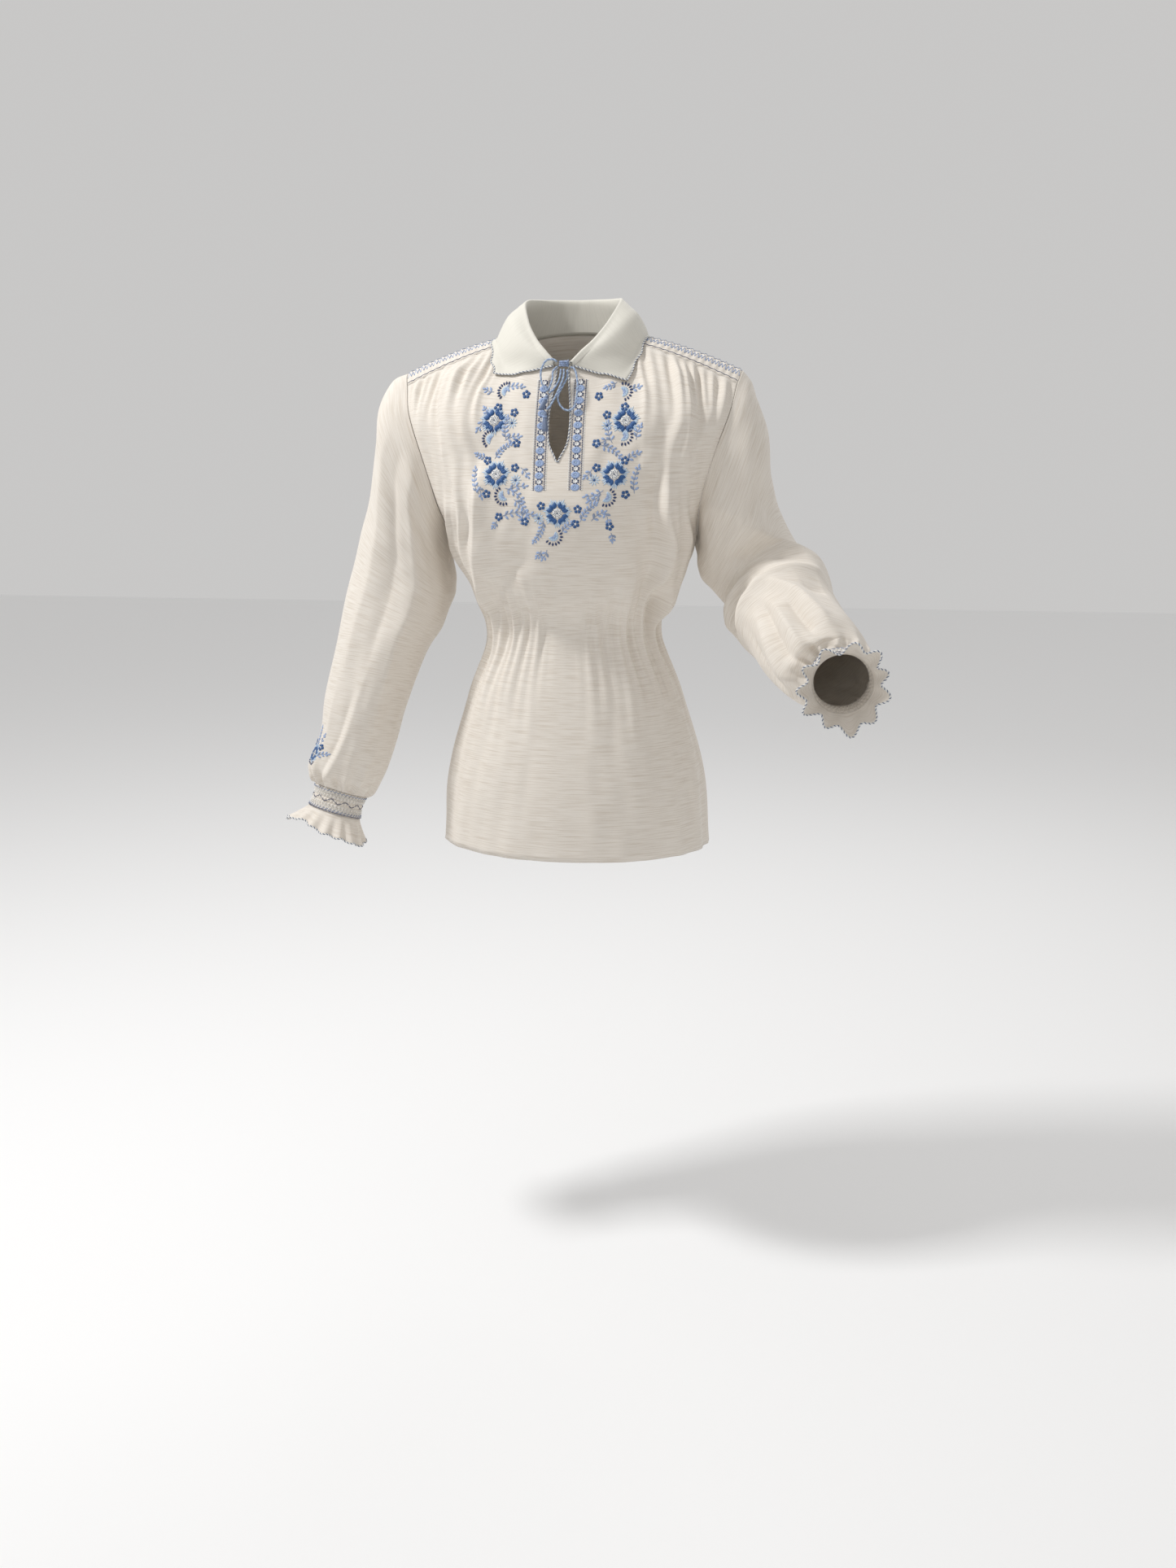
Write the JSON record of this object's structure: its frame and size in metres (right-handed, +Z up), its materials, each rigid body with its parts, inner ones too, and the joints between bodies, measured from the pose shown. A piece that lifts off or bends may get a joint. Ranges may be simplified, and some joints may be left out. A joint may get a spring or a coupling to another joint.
{
  "type": "peasant blouse",
  "caption": "Long-sleeved peasant blouse with smocked shoulders and cuffs, ruffled wrists, folded collar, slit neck and tasselled tie, worn open and hollow.",
  "frame": {"origin": "middle of the neck, between the two points where the shoulder seams meet it, on the level of those seams", "axes": "+Z up, the wearer faces -Y, +X towards the wearer's left"},
  "size_m": [0.7191, 0.3621, 0.6608],
  "materials": {
    "cotton": "unbleached slub cotton",
    "smocked_cotton": "smocked slub cotton",
    "collar_cotton": "doubled white cotton",
    "tie_thread": "twisted blue and white thread"
  },
  "bodies": {
    "root": {"front": "cotton", "back": "cotton", "shoulder_smocking_right": "smocked_cotton", "shoulder_smocking_left": "smocked_cotton", "sleeve_right": "cotton", "sleeve_left": "cotton", "cuff_right": "smocked_cotton", "cuff_left": "smocked_cotton", "ruffle_right": "cotton", "ruffle_left": "cotton", "collar": "collar_cotton", "tie_knot": "tie_thread", "tie_loop_right": "tie_thread", "tie_loop_left": "tie_thread", "tie_end_right": "tie_thread", "tie_end_left": "tie_thread", "tie_tassel_right": "tie_thread", "tie_tassel_left": "tie_thread"}
  },
  "joints": []
}
